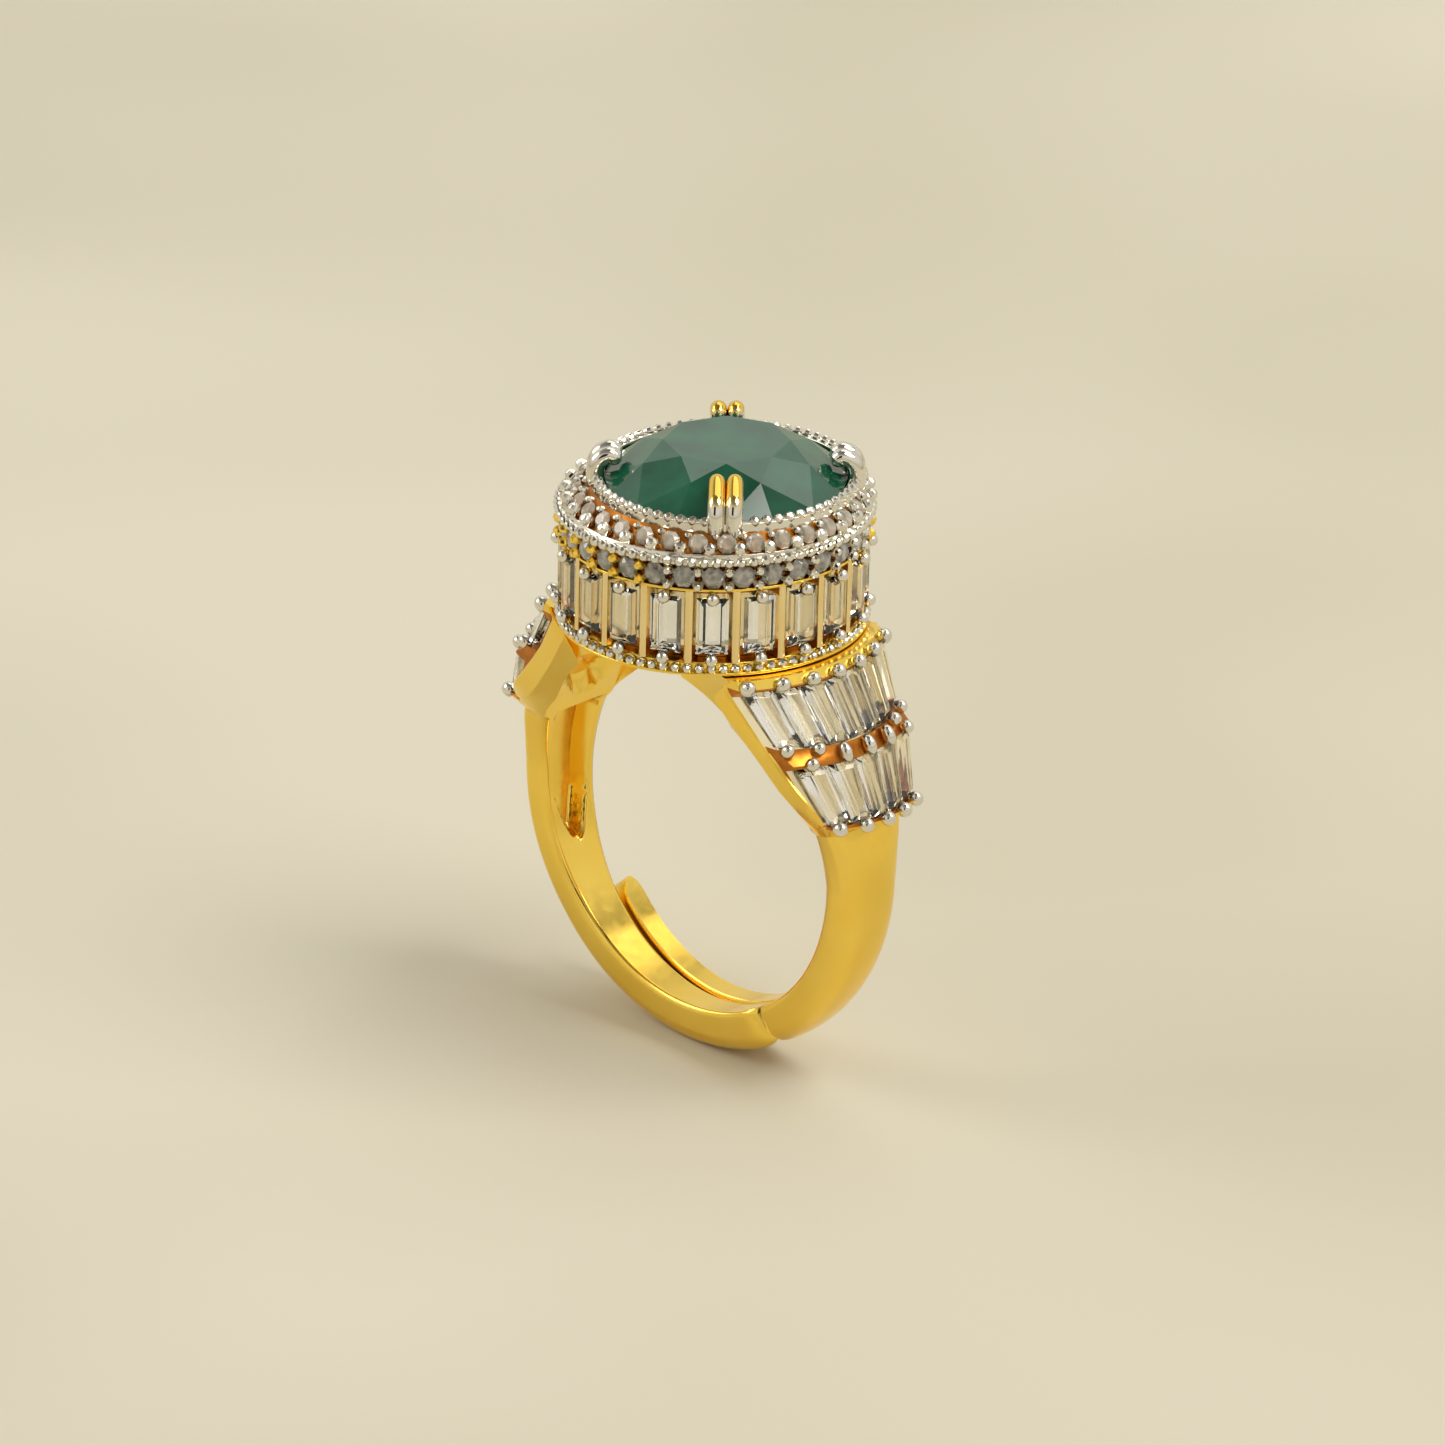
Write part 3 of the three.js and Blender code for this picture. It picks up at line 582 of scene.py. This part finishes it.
def bandSection(angle, low, high, thickness, flare=1.0, close=1.0):
    # rounded section of the shank: flat finger side, upright sides, outside domed by
    # base + (1 - base) * sqrt(1 - |q|^power); flare widens the outside, close narrows the whole
    middle, reach = (low + high) / 2, (high - low) / 2 * close
    innerReach = shank["innerShare"] * reach
    inner = fingerSide(angle, middle - innerReach, middle + innerReach, shankWindow)
    wall = np.array(shank["wall"])
    q = np.sin(np.linspace(1, -1, outsideColumns) * math.pi / 2)
    base = shank["domeBase"]
    dome = np.stack([q, base + (1 - base) * np.sqrt(1 - np.abs(q) ** shank["domePower"])], -1)
    shape = np.concatenate([wall, dome, wall[::-1] * [-1, 1]])
    y = middle + reach * shape[:, 0] * lerp(1, flare, shape[:, 1])
    r = shoulder["fingerRadius"] + shape[:, 1] * thickness * lerp(0.8, 1, close)
    a = math.radians(angle)
    return np.concatenate([inner, np.stack([r * math.cos(a), y, r * math.sin(a)], -1)])


def shoulderLoop(angle, outer, sideHigh=None, sideLow=None):
    # one closed loop of points: finger side, wall, outside, wall; the sides are where the walls turn
    half = np.interp(angle, widthAngles, innerWidths)
    inner = fingerSide(angle, -half, half, shoulderWindow)
    share = np.array([0.12, 0.5, 1.0])[:, None]
    if sideHigh is None:
        sideHigh, sideLow = lerp(inner[-1], outer[0], 0.6), lerp(inner[0], outer[-1], 0.6)
    up = np.concatenate([lerp(inner[-1], sideHigh, share), [lerp(sideHigh, outer[0], 0.5)]])
    down = np.concatenate([lerp(inner[0], sideLow, share), [lerp(sideLow, outer[-1], 0.5)]])[::-1]
    return np.concatenate([inner, up, outer, down])


def tierLoop(angle, tier, s, seat):
    # the rail's edges stand above the seat that the stones lie in
    k = shoulder
    half = lerp(*tier["half"], s)
    rim = half + np.array([k["railWidth"], k["railWidth"] - k["railRound"], k["seam"]])
    y = np.concatenate([rim, -(half - k["seam"]) * np.linspace(-1, 1, floorColumns), -rim[::-1]])
    sink = np.full(outsideColumns, k["railSink"])
    sink[[0, -1]] += k["edgeSink"]
    if seat:
        sink[rimColumns:-rimColumns] = k["seatDepth"]
    side = half + k["wallFlare"]
    return shoulderLoop(angle, onTier(tier, s, y, sink), onTier(tier, s, side, k["wallDepth"]),
                        onTier(tier, s, -side, k["wallDepth"]))


def drumLoop(angle, x, half, bulge):
    # level outside under the drum, its edges falling back by bulge * q^2
    rim = np.array([1.0, 0.985, 0.96])
    q = np.concatenate([rim, -0.95 * np.linspace(-1, 1, floorColumns), -rim[::-1]])
    outside = np.stack([x - bulge * q**2, q * half, np.full(len(q), shoulder["ledge"])], -1)
    return shoulderLoop(angle, outside)


def loopsBetween(a, b, count, first, last):
    # stations between two loops; the finger side is worked out again for each angle
    loops, angles = [], []
    for t in np.arange(count) / count:
        loop = lerp(a, b, t)
        angle = lerp(first, last, t)
        half = np.interp(angle, widthAngles, innerWidths)
        loop[:innerColumns] = fingerSide(angle, -half, half, shoulderWindow)
        loops.append(loop)
        angles.append(angle)
    return loops, angles


def tierLoops(tier):
    # evenly down the tier, with close pairs where the seat starts and ends
    s0, s1 = shoulder["seatRange"]
    jump = 0.004
    breaks = np.array([tier["first"], s0 - jump, s0 + jump, 0.11, 0.18, 0.27, 0.36, 0.45, 0.54, 0.63, 0.72,
                       0.81, 0.9, s1 - jump, s1 + jump, 1.0])
    at = np.interp(breaks, [tier["first"], 0.5, 1], tier["angles"])
    return [tierLoop(a, tier, s, s0 < s < s1) for a, s in zip(at, breaks)], at.tolist()


def smoothWalls(points, angles):
    # the side walls and their top edges run in one smooth curve past both tiers: a fourth-degree
    # polynomial of the angle, held at both ends and set in below the stones
    columns = points.shape[1]
    edges = np.r_[innerColumns:floorStart, floorEnd:columns]
    part = angles < shoulder["smoothBelow"]
    at = angles[part]
    power = np.vander((at - 37) / 20, 5)
    weight = np.ones((len(at), 1))
    weight[[0, -1]] = 12
    rough = points[part][:, edges]
    solved = np.linalg.lstsq(power * weight, rough.reshape(len(at), -1) * weight, rcond=None)[0]
    smoothed = (power @ solved).reshape(rough.shape)
    smoothed[:, :, 0] -= shoulder["edgeInset"] * smooth((at - shank["top"]) / 14)[:, None]
    share = smooth((shoulder["smoothBelow"] - at) / 8) * smooth((at - shank["top"]) / 2)
    points[np.ix_(np.flatnonzero(part), edges)] = lerp(rough, smoothed, share[:, None, None])


def shoulderShape():
    drum = [drumLoop(*station) for station in underDrum]
    drumAngles = [station[0] for station in underDrum]
    upper, upperAngles = tierLoops(upperTier)
    lower, lowerAngles = tierLoops(lowerTier)
    runs = [loopsBetween(drum[i], drum[i + 1], 4, drumAngles[i], drumAngles[i + 1]) for i in range(3)]
    runs.append(loopsBetween(drum[-1], upper[0], 2, drumAngles[-1], upperAngles[0]))
    runs.append((upper, upperAngles))
    step, stepAngles = loopsBetween(upper[-1], lower[0], 2, upperAngles[-1], lowerAngles[0])
    runs.append((step[1:], stepAngles[1:]))
    runs.append((lower, lowerAngles))
    half = np.interp(shank["top"], widthAngles, innerWidths)
    bottom = bandSection(shank["top"], -half, half, shank["thickness"], shank["flare"])
    points = np.stack([loop for run in runs for loop in run[0]] + [bottom])
    angles = np.array([angle for run in runs for angle in run[1]] + [shank["top"]])
    smoothWalls(points, angles)

    # the outside between the rims gets the rougher recess gold with painted shade below the top ledge, and
    # painted reflected light in the seats
    rows, columns = points.shape[:2]
    j = np.arange(columns)
    between = (j > floorStart - 2) & (j < floorEnd)
    finishAndPaintedLight = np.where(between[None] & (angles[:-1] < shoulder["goldAbove"])[:, None], 1, 0)
    starts = np.cumsum([len(run[0]) for run in runs])
    sunk = np.zeros(rows - 1, bool)
    for first in (starts[3], starts[5]):
        sunk[first + 2:first + 13] = True
    finishAndPaintedLight[np.ix_(sunk, (j > floorStart - 1) & (j < floorEnd - 1))] = 2
    finishAndPaintedLight[-1] = 0
    caps = [list(range(columns)), list(range((rows - 1) * columns, rows * columns))]
    return (points.reshape(-1, 3), [gridFaces(rows, columns, False, True), caps],
            np.append(finishAndPaintedLight.ravel(), [0, 0]))


def tierStones(tier):
    # each stone covers its share of the width, from the top of the seat to the bottom
    i = np.arange(tier["stones"])

    def corner(s, step, trim):
        half = lerp(*tier["half"], s)
        y = half * (2 * (i + step) / tier["stones"] - 1) + trim
        return onTier(tier, s, y, shoulder["stoneSink"])

    s0, s1 = shoulder["stoneRange"]
    g = shoulder["stoneGap"] / 2
    corners = np.stack([corner(s1, 0, g), corner(s1, 1, -g), corner(s0, 1, -g), corner(s0, 0, g)], 1)
    out = unit(np.cross(corners[:, 2] - corners[:, 0], corners[:, 3] - corners[:, 1]))
    out = out * np.sign(out[:, :1])
    return stepCut(corners, out, taper)


taper = {"layers": [(0.34, 0.0), (0.16, 0.09), (0.0, 0.24), (0.0, 0.3)],
         "keelInset": 0.2, "keelDepth": 0.72}

# Rows of prongs across a shoulder: places from edge to edge in steps of the row's pitch, x at the middle,
# how far the ends fall back, height, ball size and how much longer it is down the tier
prongRows = [{"at": (0, 1, 2, 3, 4, 5, 6), "count": 7, "width": 8.61, "x": 7.71, "bulge": 1.33, "z": 9.6,
              "size": 0.34, "long": 1.05, "tier": upperTier},
             {"at": (0, 1, 5, 6), "count": 7, "width": 7.14, "x": 9.51, "bulge": 1.33, "z": 7.0,
              "size": 0.3, "long": 1.05, "tier": upperTier},
             {"at": (0, 4), "count": 5, "width": 5.95, "x": 9.75, "bulge": 0.62, "z": 6.5,
              "size": 0.3, "long": 1.05, "tier": lowerTier},
             {"at": (0, 1, 2), "count": 3, "width": 2.7, "x": 9.7, "bulge": 0.15, "z": 6.76,
              "size": 0.28, "long": 1.75, "tier": upperTier},
             {"at": (0, 1, 2, 3, 4), "count": 5, "width": 4.79, "x": 10.94, "bulge": 0.61, "z": 3.62,
              "size": 0.33, "long": 1.05, "tier": lowerTier}]


def prongBeads(row):
    # x = middle - bulge * t^2, y = t * width / 2; each ball is longer down the tier
    t = np.array(row["at"]) * 2 / (row["count"] - 1) - 1
    centres = np.stack([row["x"] - row["bulge"] * t**2, t * row["width"] / 2, 0 * t + row["z"]], -1)
    (x0, z0), (x1, z1) = row["tier"]["top"], row["tier"]["bottom"]
    down = unit(np.array([x1 - x0, 0, z1 - z0]))
    out = np.array([-down[2], 0, down[0]])
    axes = np.stack([np.array([0, 1.0, 0]), down * row["long"], out * 1.15]) * row["size"]
    return copies(*bigBead, centres, np.tile(axes, (len(t), 1, 1)))


def turnedAbout(points, side):
    # the left half of the ring is the right half turned half way round the upright axis
    return points * np.array([-1, -1, 1]) if side == "left" else points


for side in ("right", "left"):
    points, faces, finishAndPaintedLight = shoulderShape()
    addPiece(f"shoulder_body_{side}", turnedAbout(points, side), faces, gold, "head", "yellow_gold_plate",
             [f"shoulder_{side}"], finishAndPaintedLight=finishAndPaintedLight)
    for row, tier in (("upper", upperTier), ("lower", lowerTier)):
        points, faces = tierStones(tier)
        names = [f"{side}_{row}_stone_{i + 1}" for i in range(tier["stones"])]
        addPiece(f"{row}_baguettes_{side}", turnedAbout(points, side), faces, zirconia, "head", "clear_stone",
                 names, flat=True)
    points, faces = joined([prongBeads(row) for row in prongRows])
    addPiece(f"prong_beads_{side}", turnedAbout(points, side), faces, rhodium, "head", "white_rhodium_plate")
print("shoulders made")

# claws
# Name, direction from +X, how near to the stone's middle the tips come, and whether they show gold
claw = {"radius": 0.42, "tipRadius": 0.37, "spread": 0.39, "sides": 20, "crownSlope": 0.65, "lift": 0.27,
        "girdle": (5.42, 16.5),
        "places": (("back_right", 45, 4.6, False), ("back_left", 135, 4.6, True),
                   ("front_left", 225, 4.6, False), ("front_right", 315, 3.95, True))}


def clawPath(s, reach):
    # up the bezel, over its edge and down on to the crown, which rises from the girdle by its slope
    radius, height = s["girdle"]
    tip = height + s["crownSlope"] * (radius - reach) + s["lift"]
    return [(5.68, 15.8), (5.74, 16.7), (5.7, 17.05), (5.52, 17.38), (5.15, 17.58),
            (reach + 0.32, tip + 0.18), (reach, tip)]


def tube(path, radii, sides):
    # rounds of radius r about each point of a path in the x-z plane, closed by points at both ends
    along = unit(np.gradient(path, axis=0))
    across = np.tile([0, 1.0, 0], (len(path), 1))
    up = np.cross(along, across)
    a = np.arange(sides) * 2 * math.pi / sides
    rings = path[:, None] + radii[:, None, None] * (np.cos(a)[None, :, None] * across[:, None]
                                                    + np.sin(a)[None, :, None] * up[:, None])
    n = len(path) * sides
    points = np.concatenate([rings.reshape(-1, 3), path[:1], path[-1:]])
    j = np.arange(sides)
    k = (j + 1) % sides
    caps = [np.stack([k, j, np.full(sides, n)], -1),
            np.stack([n - sides + j, n - sides + k, np.full(sides, n + 1)], -1)]
    return points, [gridFaces(len(path), sides, False, True)] + caps


def clawPair(s, angle, reach):
    curve = catmull(clawPath(s, reach), 8)
    path = np.stack([curve[:, 0], 0 * curve[:, 0], curve[:, 1]], -1)
    run = np.concatenate([[0], np.cumsum(np.linalg.norm(np.diff(path, axis=0), axis=1))])
    # the tip closes like a ball
    left = np.clip((run[-1] - run) / s["tipRadius"], 0, 1)
    ball = np.sqrt(np.clip(1 - (1 - left) ** 2, 0, 1))
    radii = lerp(s["radius"], s["tipRadius"], run / run[-1]) * np.maximum(ball, 0.05)
    a = math.radians(angle)
    turn = np.array([[math.cos(a), math.sin(a), 0], [-math.sin(a), math.cos(a), 0], [0, 0, 1]])
    parts = [tube(path + np.array([0, side * s["spread"], 0]), radii, s["sides"]) for side in (-1, 1)]
    points, faces = joined(parts)
    return headScaled(shifted(points @ turn, 1)), faces


for name, angle, reach, worn in claw["places"]:
    addPiece(f"claw_prongs_{name}", *clawPair(claw, angle, reach), clawMetal if worn else rhodium, "head",
             "white_rhodium_plate", [f"claw_{name}"], sharpAngle=60)
print("claws made")

# open shank
def armShape(s, side):
    # shank sections carried round the finger between the arm's two edges, close together where an arm
    # steps in; over the last degrees the width closes like the end of an ellipse
    table = np.array(armEdges[side])[::-1]
    last = table[0, 0] + s["roundAngle"]
    a, b, c, d = s["step"]
    tipAngles = last - s["roundAngle"] * np.sin(np.linspace(0.08, 1, 14) * math.pi / 2)
    angles = np.concatenate([np.linspace(s["top"], a, 60), np.linspace(b, c, 6), np.linspace(d, last, 44),
                             tipAngles])
    low, high = (np.interp(angles, table[:, 0], table[:, c]) for c in (1, 2))
    t = np.clip((last - angles) / s["roundAngle"], 0, 1)
    close = np.maximum(np.sqrt(1 - t**2), 0.03)
    thickness = s["thickness"] + s["bottomExtra"] * np.maximum(0, -np.sin(np.radians(angles)))
    flare = lerp(1, s["flare"], smooth((angles - s["flareEnd"]) / (s["top"] - s["flareEnd"])))
    points = np.stack([bandSection(*row) for row in zip(angles, low, high, thickness, flare, close)])
    rows, columns = points.shape[:2]
    caps = [list(range(columns)), list(range((rows - 1) * columns, rows * columns))]
    return points.reshape(-1, 3), [gridFaces(rows, columns, False, True), caps]


for side in ("right", "left"):
    points, faces = armShape(shank, side)
    addPiece(f"shank_band_{side}", turnedAbout(points, side), faces, gold,
             {"bodies": ("head", f"{side}_arm"), "start": (0, 0, 0.003), "end": (0, 0, -0.004)},
             "yellow_gold_plate", [f"{side}_arm"], sharpAngle=50)
print("shank made")

# centre stone
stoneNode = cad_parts["centre_stone"]
stoneNode.data.materials.clear()
stoneNode.data.materials.append(greenCrystal)

# studio
studio = {"floorHeight": -10.68, "floorColours": ("#cdc8b4", "#d8d3c1"), "floorSize": 3.0}


def floorMaterial(s):
    # matt cloth backdrop: soft, with slow changes of tone
    material = bpy.data.materials.new("pale cloth backdrop")
    material.use_nodes = True
    tree = material.node_tree
    tree.nodes.clear()
    place = addNode(tree, "ShaderNodeTexCoord").outputs["Object"]
    slow = addNode(tree, "ShaderNodeTexNoise", {"Scale": 18.0, "Detail": 1.0}, {"Vector": place})
    ramp = addNode(tree, "ShaderNodeValToRGB", None, {"Fac": slow.outputs["Fac"]})
    ramp.color_ramp.elements[0].position, ramp.color_ramp.elements[1].position = 0.35, 0.65
    ramp.color_ramp.elements[0].color = toLinear(s["floorColours"][0])
    ramp.color_ramp.elements[1].color = toLinear(s["floorColours"][1])
    shader = addNode(tree, "ShaderNodeBsdfPrincipled", {"Roughness": 0.95, "Specular IOR Level": 0.1},
                     {"Base Color": ramp.outputs["Color"]})
    addNode(tree, "ShaderNodeOutputMaterial", None, {"Surface": shader.outputs["BSDF"]})
    return material


def stageSheet(name, corners, material):
    mesh = bpy.data.meshes.new(name)
    mesh.from_pydata([tuple(c) for c in corners], [], [(0, 1, 2, 3)])
    mesh.materials.append(material)
    sheet = bpy.data.objects.new(name, mesh)
    bpy.context.collection.objects.link(sheet)
    return sheet


half, level = studio["floorSize"], studio["floorHeight"] * mm
stageSheet("floor", [(-half, -half, level), (half, -half, level), (half, half, level), (-half, half, level)],
           floorMaterial(studio))

# Direction the camera looks from, its turn about its own axis, distance in millimetres and lens
view = {"azimuth": 43.95, "elevation": 24.71, "roll": -1.328, "distance": 355.18, "lens": 197.8,
        "shiftX": 0.0101, "shiftY": 0.0653}


def viewAxes(azimuth, elevation):
    a, e = math.radians(azimuth), math.radians(elevation)
    back = Vector((math.sin(a) * math.cos(e), -math.cos(a) * math.cos(e), math.sin(e)))
    right = Vector((math.cos(a), math.sin(a), 0))
    return right, back.cross(right), back


def makeCamera(s):
    right, up, back = viewAxes(s["azimuth"], s["elevation"])
    r = math.radians(s["roll"])
    x, y = right * math.cos(r) - up * math.sin(r), right * math.sin(r) + up * math.cos(r)
    camera = bpy.data.objects.new("camera", bpy.data.cameras.new("camera"))
    bpy.context.collection.objects.link(camera)
    turn = Matrix((x, y, back)).transposed().to_4x4()
    camera.matrix_world = Matrix.Translation(back * s["distance"] * mm) @ turn
    camera.data.lens = s["lens"]
    camera.data.sensor_width = 36
    camera.data.shift_x, camera.data.shift_y = s["shiftX"], s["shiftY"]
    camera.data.clip_start, camera.data.clip_end = 0.01, 20
    bpy.context.scene.camera = camera


makeCamera(view)


def softBox(name, azimuth, elevation, distance, width, height, watts, colour, target=(0, 0, 0.008)):
    # an area light turned towards the target from a direction
    right, up, back = viewAxes(azimuth, elevation)
    light = bpy.data.lights.new(name, "AREA")
    light.shape = "RECTANGLE"
    light.size, light.size_y = width, height
    light.energy = watts
    light.color = toLinear(colour)[:3]
    lamp = bpy.data.objects.new(name, light)
    bpy.context.collection.objects.link(lamp)
    turn = Matrix((right, up, back)).transposed().to_4x4()
    lamp.matrix_world = Matrix.Translation(Vector(target) + back * distance) @ turn


# Azimuth, elevation, distance, width and height in metres, watts and colour
softBoxes = {"window_right": (112, 58, 0.6, 0.34, 0.34, 1.9, "#fffaf4"),
             "window_back": (200, 62, 0.7, 0.6, 0.4, 0.9, "#fffaf2"),
             "window_left": (-50, 32, 0.7, 0.4, 0.4, 1.2, "#fffaf2")}
for name, settings in softBoxes.items():
    softBox(name, *settings)


def blackCard(azimuth, elevation, distance, width, height):
    # dark card beside the camera, which shows in the metal as dark edges
    right, up, back = viewAxes(azimuth, elevation)
    material = bpy.data.materials.new("matt black card")
    material.use_nodes = True
    shader = material.node_tree.nodes["Principled BSDF"]
    shader.inputs["Base Color"].default_value = toLinear("#14120e")
    shader.inputs["Roughness"].default_value = 0.9
    centre = back * distance
    x, y = right * width / 2, up * height / 2
    corners = [centre - x - y, centre + x - y, centre + x + y, centre - x + y]
    stageSheet("black_card", corners, material).visible_camera = False


blackCard(26, 26, 0.42, 0.18, 0.2)


def makeWorld():
    # warm white room: bright walls, dimmer overhead
    world = bpy.context.scene.world or bpy.data.worlds.new("studio")
    bpy.context.scene.world = world
    world.use_nodes = True
    tree = world.node_tree
    tree.nodes.clear()
    place = addNode(tree, "ShaderNodeTexCoord").outputs["Generated"]
    height = addNode(tree, "ShaderNodeSeparateXYZ", None, {"Vector": place}).outputs["Z"]
    ramp = addNode(tree, "ShaderNodeValToRGB", None, {"Fac": height})
    for position, tone in ((0.25, "#fffaee"), (0.55, "#fffdf6"), (0.8, "#a3a19a")):
        ramp.color_ramp.elements.new(position).color = toLinear(tone)
    ramp.color_ramp.elements[0].color = toLinear("#e5dcc4")
    ramp.color_ramp.elements[-1].color = toLinear("#7a7974")
    light = addNode(tree, "ShaderNodeBackground", {"Strength": 0.8}, {"Color": ramp.outputs["Color"]})
    addNode(tree, "ShaderNodeOutputWorld", None, {"Surface": light.outputs["Background"]})


makeWorld()
bpy.context.scene.view_settings.view_transform = "Standard"
print("studio made")
